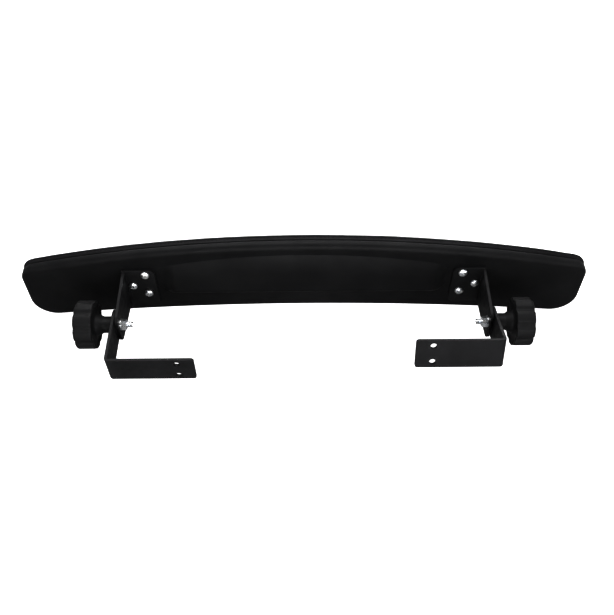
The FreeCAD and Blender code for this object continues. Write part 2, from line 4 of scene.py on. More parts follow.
import bmesh
import bpy
from mathutils import Matrix, Vector, noise
from mathutils.bvhtree import BVHTree


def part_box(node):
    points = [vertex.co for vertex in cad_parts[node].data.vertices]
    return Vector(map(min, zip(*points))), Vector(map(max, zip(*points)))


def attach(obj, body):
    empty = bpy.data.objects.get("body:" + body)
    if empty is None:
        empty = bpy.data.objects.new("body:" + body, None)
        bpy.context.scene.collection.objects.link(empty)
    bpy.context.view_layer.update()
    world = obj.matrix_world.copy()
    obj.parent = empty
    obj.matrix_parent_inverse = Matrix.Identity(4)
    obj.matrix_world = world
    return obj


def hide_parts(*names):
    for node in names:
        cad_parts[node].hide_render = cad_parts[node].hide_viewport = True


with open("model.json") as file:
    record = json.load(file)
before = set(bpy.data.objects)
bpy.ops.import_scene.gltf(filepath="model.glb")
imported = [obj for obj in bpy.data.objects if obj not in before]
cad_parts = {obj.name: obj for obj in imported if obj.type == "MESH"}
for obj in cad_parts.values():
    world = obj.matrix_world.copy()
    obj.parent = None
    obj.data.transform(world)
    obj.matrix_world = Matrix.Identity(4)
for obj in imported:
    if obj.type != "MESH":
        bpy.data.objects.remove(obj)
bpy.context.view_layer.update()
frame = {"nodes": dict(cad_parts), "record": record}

MM = 0.001
SIDES = (("left", -1), ("right", 1))

# The datum is on the shell's back face, at the crown of the arched top edge.
# Sizes are in millimetres from it: X to the right, Y towards the cushion, Z up.
SHELL_DEPTH, SHELL_WALL = 9, 2.5
SHELL_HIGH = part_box("back_shell")[1]
DATUM = Vector((0, SHELL_HIGH.y - SHELL_DEPTH * MM, SHELL_HIGH.z))
RING = 640                      # points round an outline, a multiple of four

PAD = {"half": 300, "top": 0, "bottom": 95, "top_rise": 36, "bottom_rise": 17,
       "upper": 18, "lower": 25}
SPINE = {"half": 151, "top": 13, "bottom": 72, "top_rise": 17, "bottom_rise": 2,
         "upper": 16, "lower": 16}
SPINE_HEIGHT = 8
TIGHT_ROLL, WIDE_ROLL = (3, 3), (7, 6.5)    # how far the rim's round reaches across and deep

PLATE_REAR = -3                 # rear face of the bracket plates
HEAD_HEIGHT = 3.6               # of the plate screws
SCREWS = ((167, -39), (167, -68), (182, -56))
PIVOT_Y, PIVOT_Z = -56, -55
FLANGE_INNER, NUT_WASHER = 188, 1.2
NUT_THICK, NUT_FLATS = 5, 10
STUD_TIP, STUD_RADIUS = 175.6, 3
KNOB_FACE, KNOB_RADIUS, KNOB_THICK = 212.6, 25, 19
HUB_TIP = -16.5                 # inner end of the knob's hub, from the knob's inner face
HUB_RADIUS, CAP_RADIUS = 8.5, 9.95
HEAD_SEAT, HEAD_THICK = 8, 4
LOBES, LOBE_DEPTH, LOBE_TURN = 9, 2.0, math.radians(16.9)


def at(x, y, z):
    """A place in the row frame, from millimetres measured from the datum."""
    return DATUM + Vector((x, y, z)) * MM


def ease(value):
    """Zero to one with level ends."""
    value = min(1, max(0, value))
    return value * value * (3 - 2 * value)


# ---------------------------------------------------------------- outlines

def arc(centre, radius, start, end):
    """Points a millimetre apart along an arc between two angles."""
    steps = max(2, math.ceil(abs(end - start) * radius))
    angles = [start + (end - start) * i / steps for i in range(steps)]
    return [centre + Vector((math.cos(a), math.sin(a))) * radius for a in angles]


def spread(points, count):
    """A closed outline drawn again as evenly spaced points."""
    loop = points + points[:1]
    walked = [0]
    for first, second in zip(loop, loop[1:]):
        walked.append(walked[-1] + (second - first).length)
    result, leg = [], 0
    for i in range(count):
        distance = walked[-1] * i / count
        while walked[leg + 1] < distance:
            leg += 1
        share = (distance - walked[leg]) / (walked[leg + 1] - walked[leg])
        result.append(loop[leg].lerp(loop[leg + 1], share))
    return result


def arc_centres(shape):
    """The centres and radii of a shape's top and bottom arcs, which both bow upward."""
    top_radius = (shape["half"] ** 2 + shape["top_rise"] ** 2) / (2 * shape["top_rise"])
    low_radius = (shape["half"] ** 2 + shape["bottom_rise"] ** 2) / (2 * shape["bottom_rise"])
    peak = Vector((0, -shape["top"] - top_radius))
    base = Vector((0, -shape["bottom"] - low_radius))
    return peak, top_radius, base, low_radius


def outline(shape, inset=0):
    """A ring of points (x, z) between two arcs, clockwise from the middle of the top."""
    peak, top_radius, base, low_radius = arc_centres(shape)
    top_radius, low_radius = top_radius - inset, low_radius + inset
    upper, lower = max(2, shape["upper"] - inset), max(2, shape["lower"] - inset)
    x = shape["half"] - inset - upper
    high = Vector((x, peak.y + math.sqrt((top_radius - upper) ** 2 - x * x)))
    x = shape["half"] - inset - lower
    low = Vector((x, base.y + math.sqrt((low_radius + lower) ** 2 - x * x)))
    turn_high = math.atan2(high.y - peak.y, high.x)
    turn_low = math.atan2(low.y - base.y, low.x)
    right = (arc(peak, top_radius, math.pi / 2, turn_high) + arc(high, upper, turn_high, 0)
             + arc(low, lower, 0, turn_low - math.pi)
             + arc(base, low_radius, turn_low, math.pi / 2))
    middle = base + Vector((0, low_radius))
    left = [Vector((-p.x, p.y)) for p in reversed(right[1:])]
    return spread(right + [middle] + left, RING)


def toward_middle(ring, share):
    """A ring drawn in towards the line along its own middle."""
    half = len(ring) // 2
    partners = [ring[(half - i) % len(ring)] for i in range(len(ring))]
    return [p.lerp((p + q) / 2, share) for p, q in zip(ring, partners)]


# ---------------------------------------------------------------- meshes

def stack(rings):
    """Quads between rings that have the same number of points."""
    count = len(rings[0])
    return [(r * count + i, r * count + (i + 1) % count,
             (r + 1) * count + (i + 1) % count, (r + 1) * count + i)
            for r in range(len(rings) - 1) for i in range(count)]


def close_across(first, count):
    """Faces that close a long ring, from each point to the one across from it."""
    faces = []
    for k in range(-count // 4, count // 4):
        corners = [k % count, (k + 1) % count,
                   (count // 2 - k - 1) % count, (count // 2 - k) % count]
        face = list(dict.fromkeys(first + c for c in corners))
        if len(face) > 2:
            faces.append(face)
    return faces


def shown(name, data):
    """A new object with this data, linked to the scene."""
    thing = bpy.data.objects.new(name, data)
    bpy.context.scene.collection.objects.link(thing)
    return thing


def put(name, mesh, body, material, sharp=40):
    """Shows a mesh as a smooth-shaded piece that rides on a body."""
    mesh.polygons.foreach_set("use_smooth", [True] * len(mesh.polygons))
    mesh.set_sharp_from_angle(angle=math.radians(sharp))
    mesh.materials.clear()
    mesh.materials.append(material)
    piece = shown(name, mesh)
    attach(piece, body)
    return piece


def closed_mesh(name, places, faces, merge):
    """A mesh with points closer than merge joined and its normals made to face out."""
    mesh = bpy.data.meshes.new(name)
    mesh.from_pydata(places, [], faces)
    work = bmesh.new()
    work.from_mesh(mesh)
    bmesh.ops.remove_doubles(work, verts=work.verts, dist=merge * MM)
    bmesh.ops.recalc_face_normals(work, faces=work.faces)
    work.to_mesh(mesh)
    work.free()
    return mesh


def build(name, points, faces):
    """A mesh from points in millimetres measured from the datum."""
    return closed_mesh(name, [at(*p) for p in points], faces, 0.01)


def turned(profile, steps, bend=None):
    """Points and faces of a profile of (radius, height) turned about the local Z axis.

    bend(radius, height, angle) may return a changed radius and height."""
    points, spans = [], []
    for radius, height in profile:
        spans.append(len(points))
        if radius == 0:
            points.append(Vector((0, 0, height)))
            continue
        for i in range(steps):
            angle = 2 * math.pi * i / steps
            r, h = bend(radius, height, angle) if bend else (radius, height)
            points.append(Vector((r * math.cos(angle), r * math.sin(angle), h)))
    faces = []
    for k in range(len(profile) - 1):
        a, b = spans[k], spans[k + 1]
        for i in range(steps):
            j = (i + 1) % steps
            if profile[k][0] == 0:
                faces.append((a, b + j, b + i))
            elif profile[k + 1][0] == 0:
                faces.append((a + i, a + j, b))
            else:
                faces.append((a + i, a + j, b + j, b + i))
    return points, faces


def outward(side, x):
    """Maps local points onto the pivot axis: local Z runs outward from the distance x."""
    return lambda p: Vector((side * (x + p.z), PIVOT_Y + p.x, PIVOT_Z + p.y))


def join(parts):
    """One list of points and one of faces from several."""
    points, faces = [], []
    for some_points, some_faces in parts:
        faces += [tuple(len(points) + i for i in face) for face in some_faces]
        points += list(some_points)
    return points, faces


def polar(radius, turn, height):
    """A point from its radius, its share of a full turn and its height."""
    angle = 2 * math.pi * turn
    return Vector((radius * math.cos(angle), radius * math.sin(angle), height))


def thread(radius, pitch, length, around=28):
    """A screw thread along local Z, closed and chamfered at both ends."""
    root = radius - 0.6 * pitch
    profile = ((0, root), (0.12, root), (0.44, radius), (0.56, radius), (0.88, root))
    rows = [(turn + share, level) for turn in range(-1, math.ceil(length / pitch) + 1)
            for share, level in profile]
    points = []
    for share, level in rows:
        for i in range(around):
            height = min(length, max(0, pitch * (share + i / around)))
            limit = root - 0.2 + min(height, length - height)
            points.append(polar(min(level, limit), i / around, height))
    faces = []
    for row in range(len(rows) - 1):
        for i in range(around - 1):
            a, b = row * around + i, (row + 1) * around + i
            faces.append((a, a + 1, b + 1, b))
    step = len(profile)
    for row in range(len(rows) - step - 1):
        a, b = row * around + around - 1, (row + 1) * around + around - 1
        c, d = (row + step) * around, (row + step + 1) * around
        faces.append((a, c, d, b))
    return points, faces


# ---------------------------------------------------------------- materials

def plain(name, colour, roughness, metallic=0.0, specular=0.5):
    """A Principled material; its constants are set on the shader itself."""
    material = bpy.data.materials.new(name)
    material.use_nodes = True
    shader = material.node_tree.nodes["Principled BSDF"]
    shader.inputs["Base Color"].default_value = (*colour, 1)
    shader.inputs["Roughness"].default_value = roughness
    shader.inputs["Metallic"].default_value = metallic
    shader.inputs["Specular IOR Level"].default_value = specular
    return material


def texture(material, kind, size, detail=2.0, stretch=(1, 1, 1)):
    """A noise, Voronoi or wave texture whose grain is about size millimetres."""
    nodes, links = material.node_tree.nodes, material.node_tree.links
    place = nodes.new("ShaderNodeTexCoord")
    mapping = nodes.new("ShaderNodeMapping")
    mapping.inputs["Scale"].default_value = stretch
    links.new(place.outputs["Object"], mapping.inputs["Vector"])
    grain = nodes.new({"noise": "ShaderNodeTexNoise", "cells": "ShaderNodeTexVoronoi",
                       "wave": "ShaderNodeTexWave"}[kind])
    grain.inputs["Scale"].default_value = 1 / (size * MM)
    if kind != "cells":
        grain.inputs["Detail"].default_value = detail
    links.new(mapping.outputs["Vector"], grain.inputs["Vector"])
    return grain.outputs["Distance" if kind == "cells" else "Fac"]


def spread_to(material, source, socket, low, high, ends=(0.3, 0.7)):
    """Lets a texture vary one of the shader's sockets between two values."""
    nodes, links = material.node_tree.nodes, material.node_tree.links
    shader = nodes["Principled BSDF"]
    if isinstance(low, tuple):
        ramp = nodes.new("ShaderNodeValToRGB")
        for element, place, colour in zip(ramp.color_ramp.elements, ends, (low, high)):
            element.position = place
            element.color = (*colour, 1)
        links.new(source, ramp.inputs["Fac"])
        links.new(ramp.outputs["Color"], shader.inputs[socket])
        return
    level = nodes.new("ShaderNodeMapRange")
    level.inputs["From Min"].default_value, level.inputs["From Max"].default_value = ends
    level.inputs["To Min"].default_value, level.inputs["To Max"].default_value = low, high
    links.new(source, level.inputs["Value"])
    links.new(level.outputs["Result"], shader.inputs[socket])


def relief(material, source, height, strength=1.0):
    """Adds a bump of the given height in millimetres on top of any earlier ones."""
    nodes, links = material.node_tree.nodes, material.node_tree.links
    socket = nodes["Principled BSDF"].inputs["Normal"]
    bump = nodes.new("ShaderNodeBump")
    bump.inputs["Distance"].default_value = height * MM
    bump.inputs["Strength"].default_value = strength
    links.new(source, bump.inputs["Height"])
    if socket.links:
        links.new(socket.links[0].from_socket, bump.inputs["Normal"])
    links.new(bump.outputs["Normal"], socket)


def moulded_plastic(name, dark, light, grain_size):
    """Black moulded plastic with a spark-eroded texture and a faintly uneven gloss."""
    rough = 0.5
    material = plain(name, dark, rough, specular=SPECULAR)
    spread_to(material, texture(material, "noise", 45, 3), "Base Color", dark, light)
    spread_to(material, texture(material, "noise", 18, 4), "Roughness", rough - 0.06, rough + 0.08)
    relief(material, texture(material, "noise", grain_size, 3), 0.06)
    relief(material, texture(material, "cells", grain_size * 2.4), 0.03)
    return material


def faux_leather():
    """Black upholstery leatherette: pebbled cells with creases between them."""
    dark, light = (0.006, 0.006, 0.0065), (0.011, 0.011, 0.012)
    material = plain("faux_leather", dark, 0.55, specular=SPECULAR)
    spread_to(material, texture(material, "noise", 30, 4), "Base Color", dark, light)
    cells = texture(material, "cells", 1.5)
    spread_to(material, cells, "Roughness", 0.62, 0.48, (0.0, 0.6))
    relief(material, cells, 0.12, 0.7)
    relief(material, texture(material, "noise", 0.6, 3), 0.04)
    relief(material, texture(material, "noise", 9, 2), 0.25)
    return material


def powder_coat():
    """Black powder paint on steel, with its fine orange peel."""
    dark, light = (0.010, 0.010, 0.0105), (0.015, 0.015, 0.016)
    material = plain("powder_coat", dark, 0.5, specular=SPECULAR)
    spread_to(material, texture(material, "noise", 25, 3), "Base Color", dark, light)
    spread_to(material, texture(material, "noise", 6, 3), "Roughness", 0.42, 0.56)
    relief(material, texture(material, "noise", 1.1, 2), 0.035)
    relief(material, texture(material, "cells", 0.5), 0.012)
    return material


def zinc():
    """Bright zinc plating with faint drawing marks and a slightly blue passivation."""
    material = plain("zinc_plate", (0.8, 0.8, 0.8), 0.25, metallic=1.0)
    cool, warm = (0.72, 0.75, 0.80), (0.86, 0.85, 0.82)
    spread_to(material, texture(material, "noise", 4, 3), "Base Color", cool, warm)
    spread_to(material, texture(material, "noise", 0.7, 4), "Roughness", 0.2, 0.38)
    relief(material, texture(material, "noise", 0.3, 2, (1, 1, 6)), 0.006)
    return material


def nylon():
    """Smooth black nylon for the friction washers."""
    dark, light = (0.012, 0.012, 0.013), (0.018, 0.018, 0.02)
    material = plain("nylon", dark, 0.4, specular=SPECULAR)
    spread_to(material, texture(material, "noise", 5, 3), "Base Color", dark, light)
    spread_to(material, texture(material, "noise", 2, 2), "Roughness", 0.34, 0.48)
    relief(material, texture(material, "noise", 0.5, 2), 0.01)
    return material


def plywood():
    """Birch plywood for the hidden board, with long grain along the pad."""
    pale, brown = (0.62, 0.47, 0.30), (0.47, 0.33, 0.19)
    material = plain("plywood", pale, 0.7)
    grain = texture(material, "noise", 5, 5, (0.06, 1, 1))
    spread_to(material, grain, "Base Color", pale, brown, (0.35, 0.65))
    spread_to(material, texture(material, "noise", 8, 3), "Roughness", 0.6, 0.8)
    relief(material, grain, 0.15)
    return material


def foam_cells():
    """Open-cell foam for the hidden core, with painted shade in the pits of its cells."""
    pale, shade = (0.52, 0.50, 0.42), (0.40, 0.38, 0.31)
    material = plain("foam_cells", pale, 0.95)
    cells = texture(material, "cells", 1.0)
    # painted shade: the colour darkens towards each cell's middle, where the bump below sinks into
    # a pore
    spread_to(material, cells, "Base Color", shade, pale, (0.1, 0.6))
    spread_to(material, texture(material, "noise", 4, 3), "Roughness", 0.88, 1.0)
    relief(material, cells, 0.4)
    return material


def thread_cord():
    """Twisted black sewing thread, with painted shade in the grooves of its twist and lighter
    crests.
    """
    dark, light = (0.008, 0.008, 0.009), (0.016, 0.016, 0.017)
    material = plain("sewing_thread", dark, 0.6, specular=SPECULAR)
    twist = texture(material, "wave", 0.5, 1)
    # painted shade and light: the wave that raises the twist's crests also makes them lighter and
    # its grooves darker
    spread_to(material, twist, "Base Color", dark, light)
    spread_to(material, texture(material, "noise", 1, 2), "Roughness", 0.5, 0.75)
    relief(material, twist, 0.05)
    return material


SPECULAR = 0.12                 # of every black finish
SHELL = moulded_plastic("shell_plastic", (0.006, 0.006, 0.0065), (0.010, 0.010, 0.0105), 0.6)
KNOB = moulded_plastic("knob_plastic", (0.008, 0.008, 0.0084), (0.012, 0.012, 0.0125), 0.35)
LEATHER = faux_leather()
ZINC = zinc()
STITCH = thread_cord()
FINISHES = {"shell_plastic": SHELL, "cover_leather": LEATHER, "foam": foam_cells(),
            "board_wood": plywood(), "bracket_paint": powder_coat(), "zinc_steel": ZINC,
            "washer_plastic": nylon(), "knob_plastic": KNOB}


def finish_cad_nodes():
    """Gives every node of the frame the finish of its slot in the record."""
    for part in frame["record"]["subparts"]:
        node = frame["nodes"][part["node"]]
        node.data.materials.clear()
        node.data.materials.append(FINISHES[part["material_slot"]])


# ---------------------------------------------------------------- the back shell

def spine_lift(point):
    """How far the spine stands out at a place inside its foot, from 0 to 1."""
    peak, top_radius, base, low_radius = arc_centres(SPINE)
    from_top = top_radius - (point - peak).length
    from_bottom = (point - base).length - low_radius
    from_end = SPINE["half"] - abs(point.x)
    near_top = min(1, max(0, from_top / 26))
    soft = 0.55 * near_top * (2 - near_top) + 0.45 * min(1, max(0, from_top / 52))
    return soft * ease(from_bottom / 10) * ease(from_end / 15)


def rolled(turn, shrink=0):
    """A ring on the rim's round, which is wide along the arched top and tight elsewhere."""
    rings = []
    for across, deep in (TIGHT_ROLL, WIDE_ROLL):
        inset = across - (across - shrink) * math.cos(turn)
        depth = deep - (deep - shrink) * math.sin(turn)
        rings.append([Vector((p.x, depth, p.y)) for p in outline(PAD, inset)])
    from_top = [min(i, RING - i) / RING for i in range(RING)]
    return [a.lerp(b, 1 - ease((f - 0.2) / 0.04)) for a, b, f in zip(*rings, from_top)]


def make_shell():
    """The moulded tray: a rolled rim, a flat back and a softly crowned spine."""
    quarter = [math.pi / 2 * i / 10 for i in range(11)]
    lip = SHELL_DEPTH - 0.1
    rings = []

    def ring(points, depth):
        rings.append([Vector((p.x, depth, p.y)) for p in points])

    for inset in (40, 16):
        ring(outline(PAD, inset), SHELL_WALL)
    rings += [rolled(turn, SHELL_WALL) for turn in reversed(quarter)]
    for inset, depth in ((SHELL_WALL, lip - 0.5), (SHELL_WALL - 0.4, lip), (1.2, lip),
                         (0.6, lip - 0.15), (0.2, lip - 0.5), (0, lip - 1.1)):
        ring(outline(PAD, inset), depth)
    rings += [rolled(turn) for turn in quarter]
    flat = [Vector((p.x, p.z)) for p in rings[-1]]
    foot = outline(SPINE)
    for share in (0, 0.1, 0.25, 0.45, 0.65, 0.82, 0.93, 0.98, 1):
        ring([a.lerp(b, share) for a, b in zip(flat, foot)], 0)
    for share in (0.03, 0.065, 0.105, 0.15, 0.2, 0.26, 0.33, 0.41, 0.5, 0.6, 0.7, 0.8, 0.9):
        points = toward_middle(foot, share)
        rings.append([Vector((p.x, -SPINE_HEIGHT * spine_lift(p), p.y)) for p in points])
    faces = stack(rings) + close_across(0, RING) + close_across((len(rings) - 1) * RING, RING)
    points = [p for ring_points in rings for p in ring_points]
    piece = put("back_tray", build("back_tray", points, faces), "pad", SHELL, 50)
    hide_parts("back_shell")


# ---------------------------------------------------------------- the cushion

CUSHION_REAR, CUSHION_FRONT = 9.3, 20.0
SEAM_LEVEL = 14.7               # distance of the sewn seam from the shell's back
STITCH_LEVEL = SEAM_LEVEL - 2.4
STAND_PROUD = 0.1               # how far piping and stitches stand off the cover
CLOTH_PRESSURE, CLOTH_STEPS, MOST_SWELL = 4, 20, 2.2


def cushion_form():
    """The cushion before it is blown up: quads of a few millimetres, flat at the rear."""
    profile = ((12, 9.3), (5, 9.3), (1.4, 9.3), (0.4, 10.8), (0, 12.8), (0.1, 15.0), (0.9, 17.0),
               (2.8, 18.5), (5.5, 19.4), (9, 19.9), (14, 20.2), (20, 20.4), (28, 20.5))
    rings = []
    for inset, depth in profile:
        rings.append([Vector((p.x, depth, p.y)) for p in outline(PAD, inset)[::2]])
    for share in (0.2, 0.4, 0.6, 0.8, 0.93):
        crown = toward_middle(outline(PAD, 28), share)[::2]
        rings.append([Vector((p.x, CUSHION_FRONT + 0.6, p.y)) for p in crown])
    count = RING // 2
    faces = stack(rings) + close_across(0, count) + close_across((len(rings) - 1) * count, count)
    return build("cushion", [p for ring in rings for p in ring], faces)


def blown_up(mesh):
    """The mesh after cloth simulation under pressure; points only move outward, up to a cap."""
    holder = shown("holder", mesh)
    rear = at(0, CUSHION_REAR + 0.8, 0).y
    pinned = holder.vertex_groups.new(name="rear")
    pinned.add([v.index for v in mesh.vertices if v.co.y < rear], 1, "REPLACE")
    cloth = holder.modifiers.new("cloth", "CLOTH")
    cloth.settings.vertex_group_mass = "rear"
    cloth.settings.use_pressure = True
    cloth.settings.uniform_pressure_force = CLOTH_PRESSURE
    cloth.settings.effector_weights.gravity = 0
    cloth.point_cache.frame_start, cloth.point_cache.frame_end = 1, CLOTH_STEPS
    scene = bpy.context.scene
    for step in range(1, CLOTH_STEPS + 1):
        scene.frame_set(step)
    graph = bpy.context.evaluated_depsgraph_get()
    swollen = [v.co.copy() for v in holder.evaluated_get(graph).data.vertices]
    scene.frame_set(1)
    bpy.data.objects.remove(holder)
    normals = [v.normal.copy() for v in mesh.vertices]
    for vertex, normal, target in zip(mesh.vertices, normals, swollen):
        move = target - vertex.co
        move -= normal * min(0, move.dot(normal))
        if move.length > MOST_SWELL * MM:
            move *= MOST_SWELL * MM / move.length
        vertex.co += move
    return mesh


def smoothed(mesh):
    """The mesh after one level of Catmull-Clark subdivision."""
    holder = shown("holder", mesh)
    divide = holder.modifiers.new("divide", "SUBSURF")
    divide.levels = 1
    graph = bpy.context.evaluated_depsgraph_get()
    result = bpy.data.meshes.new_from_object(holder.evaluated_get(graph))
    bpy.data.objects.remove(holder)
    return result


def shape_cushion(mesh):
    """Rests the rear flat on the shell's rim and lets the cover undulate a little."""
    rest = at(0, CUSHION_REAR, 0).y
    seam = at(0, SEAM_LEVEL, 0).y
    for vertex in mesh.vertices:
        vertex.co.y = max(vertex.co.y, rest)
        place = vertex.co / MM
        loose = ease((vertex.co.y - rest) / (2 * MM))
        sway = noise.noise(place / 38) * 0.35
        gather = noise.noise(Vector((place.x / 7, 0, place.z / 7)))
        near = math.exp(-((vertex.co.y - seam) / (2.5 * MM)) ** 2)
        away = Vector((place.x / 300, 0, (place.z - DATUM.z / MM + 60) / 60)).normalized()
        vertex.co += (Vector((0, sway, 0)) + away * gather * near * 0.25) * loose * MM


def seam_line(tree, level):
    """Points just off the cushion's side at one level, found from 6 mm outside the outline."""
    ring = outline(PAD)
    points = []
    for i, place in enumerate(ring):
        run = ring[(i + 1) % RING] - ring[i - 1]
        out = Vector((-run.y, run.x)).normalized()
        start = at(place.x + out.x * 6, level, place.y + out.y * 6)
        aim = Vector((-out.x, 0, -out.y))
        hit = tree.ray_cast(start, aim, 30 * MM)[0]
        if hit is None:
            hit = at(place.x, level, place.y)
        hit = (hit - DATUM) / MM
        points.append(hit - aim * STAND_PROUD)
    return points


def tube(line, radius, around=10):
    """Points and faces of a closed tube along a ring in the XZ plane."""
    rings = []
    count = len(line)
    for i, middle in enumerate(line):
        run = (line[(i + 1) % count] - line[i - 1]).normalized()
        out = run.cross(Vector((0, 1, 0))).normalized()
        up = run.cross(out)
        rings.append([middle + (out * math.cos(a) + up * math.sin(a)) * radius
                      for a in (2 * math.pi * k / around for k in range(around))])
    faces = [(i * around + k, i * around + (k + 1) % around,
              (i + 1) % count * around + (k + 1) % around, (i + 1) % count * around + k)
             for i in range(count) for k in range(around)]
    return [p for ring in rings for p in ring], faces


def stitch(start, end, out, thick):
    """One stitch: a short rounded bar that dips into the cover at both ends."""
    run = (end - start).normalized()
    side = run.cross(out).normalized()
    sections = ((0, 0.5, -0.35), (0.15, 1, 0.0), (0.5, 1, 0.12), (0.85, 1, 0.0), (1, 0.5, -0.35))
    points = []
    for share, girth, lift in sections:
        middle = start.lerp(end, share) + out * lift
        for k in range(6):
            a = math.pi * k / 3
            points.append(middle + (out * math.sin(a) + side * math.cos(a)) * thick * girth)
    faces = [(s * 6 + k, s * 6 + (k + 1) % 6, (s + 1) * 6 + (k + 1) % 6, (s + 1) * 6 + k)
             for s in range(4) for k in range(6)]
    faces += [tuple(range(6)), tuple(range(24, 30))]
    return points, faces


def make_cushion():
    """The upholstered pad: a blown-up cover, the piping at its seam, and a row of stitches."""
    mesh = cushion_form()
    mesh = blown_up(mesh)
    mesh = smoothed(mesh)
    shape_cushion(mesh)
    cushion = put("cushion", mesh, "pad", LEATHER, 80)
    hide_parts("front_cover", "foam_pad")

    graph = bpy.context.evaluated_depsgraph_get()
    tree = BVHTree.FromObject(cushion, graph)
    points, faces = tube(seam_line(tree, SEAM_LEVEL), 0.7)
    piping = put("cushion_piping", build("cushion_piping", points, faces), "pad", LEATHER,
                 80)

    line = seam_line(tree, STITCH_LEVEL)
    middle = Vector((0, SEAM_LEVEL, -50))
    stitches = []
    for i in range(0, RING, 2):
        start, end = line[i], line[(i + 1) % RING] * 0.55 + line[(i + 2) % RING] * 0.45
        out = start - middle
        out = Vector((out.x / 30, 0, out.z)).normalized()
        stitches.append(stitch(start, end, out, 0.28))
    points, faces = join(stitches)
    put("cushion_stitches", build("cushion_stitches", points, faces), "pad", STITCH,
        60)


# ---------------------------------------------------------------- fasteners

def cross_recess():
    """The tapered cross that a driver fits, as a cutter for the pan heads."""
    parts = []
    for turn in (0, 1):
        points = []
        for height, span, width in ((-2.0, 1.1, 0.42), (0.6, 3.0, 0.62)):
            for sx, sy in ((-1, -1), (1, -1), (1, 1), (-1, 1)):
                x, y = sx * span, sy * width
                points.append(Vector((x, y, height) if turn == 0 else (-y, x, height)))
        faces = [(0, 3, 2, 1), (4, 5, 6, 7)] + [(k, (k + 1) % 4, 4 + (k + 1) % 4, 4 + k)
                                                for k in range(4)]
        parts.append((points, faces))
    return parts


def local_mesh(name, points, faces):
    """A mesh from points in millimetres about the world's origin."""
    return closed_mesh(name, [p * MM for p in points], faces, 0.001)


def pan_head():
    """A pan head with a cross recess, its crown at local Z zero."""
    profile = ((0, -HEAD_HEIGHT), (4.55, -HEAD_HEIGHT), (4.7, -3.45), (4.7, -2.3), (4.55, -1.65),
               (4.1, -1.0), (3.4, -0.5), (2.4, -0.18), (1.2, -0.03), (0, 0))
    head = shown("head", local_mesh("head", *turned(profile, 48)))
    cutters = []
    for points, faces in cross_recess():
        cutter = shown("cutter", local_mesh("cutter", points, faces))
        cut = head.modifiers.new("cut", "BOOLEAN")
        cut.operation, cut.solver, cut.object = "DIFFERENCE", "EXACT", cutter
        cutters.append(cutter)
    graph = bpy.context.evaluated_depsgraph_get()
    result = bpy.data.meshes.new_from_object(head.evaluated_get(graph))
    for spare in (head, *cutters):
        bpy.data.objects.remove(spare)
    points = [v.co.copy() / MM for v in result.vertices]
    return points, [tuple(face.vertices) for face in result.polygons]


def make_screws():
    """Three pan-head screws through each bracket plate."""
    head = pan_head()
    crown = PLATE_REAR - HEAD_HEIGHT
    shank = thread(2.45, 0.8, 12, 20)
    for name, side in SIDES:
        parts = []
        for i, (x, z) in enumerate(SCREWS):
            spin = Matrix.Rotation(math.radians(25 + 40 * i * side), 3, "Z")
            place = Vector((side * x, crown, z))
            stand = Matrix.Rotation(math.radians(90), 3, "X") @ spin
            parts.append(([place + stand @ p for p in head[0]], head[1]))
            sunk = Vector((side * x, PLATE_REAR, z))
            into = Matrix.Rotation(math.radians(-90), 3, "X")
            parts.append(([sunk + into @ p for p in shank[0]], shank[1]))
        mesh = build(f"{name}_pan_screws", *join(parts))
        piece = put(f"{name}_pan_screws", mesh, "pad", ZINC, 30)
        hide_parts(f"{name}_plate_screws")


def hexagonal(flats, bore, thick):
    """A chamfered hexagon nut between local Z zero and its thickness."""
    chamfer_start = 0.47 * flats

    def bend(radius, height, angle):
        if radius != flats:
            return radius, height
        step = math.pi / 3
        corner = flats / 2 / math.cos((angle + step / 2) % step - step / 2)
        drop = max(0, corner - chamfer_start) * 0.55
        return corner, min(max(height, drop), thick - drop)

    profile = [(flats, 0), (flats, thick), (chamfer_start, thick)]
    if bore:
        profile += [(bore + 0.4, thick), (bore, thick - 0.4), (bore, 0.4), (bore + 0.4, 0)]
    else:
        profile += [(0, thick), (0, 0)]
    profile += [(chamfer_start, 0), (flats, 0)]
    return turned(profile, 72, bend)


def make_pivot_hardware():
    """The nut on the inner side of each flange."""
    for name, side in SIDES:
        place = outward(side, FLANGE_INNER - NUT_WASHER - NUT_THICK)
        points, faces = hexagonal(NUT_FLATS, STUD_RADIUS - 0.1, NUT_THICK)
        mesh = build(f"{name}_hex_nut", [place(p) for p in points], faces)
        piece = put(f"{name}_hex_nut", mesh, "pad", ZINC, 30)
        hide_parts(f"{name}_pivot_nut")


# ---------------------------------------------------------------- clamping knobs

def lobed(radius, height, angle):
    """Draws the rim in at the scallops between the lobes, less towards the hub."""
    share = ease((radius - 15) / (KNOB_RADIUS - 17))
    if share == 0:
        return radius, height
    pitch = 2 * math.pi / LOBES
    away = abs((angle - LOBE_TURN + pitch / 2) % pitch - pitch / 2)
    scallop = 1 - ease(away / math.radians(11.5))
    return radius - LOBE_DEPTH * scallop * share, height


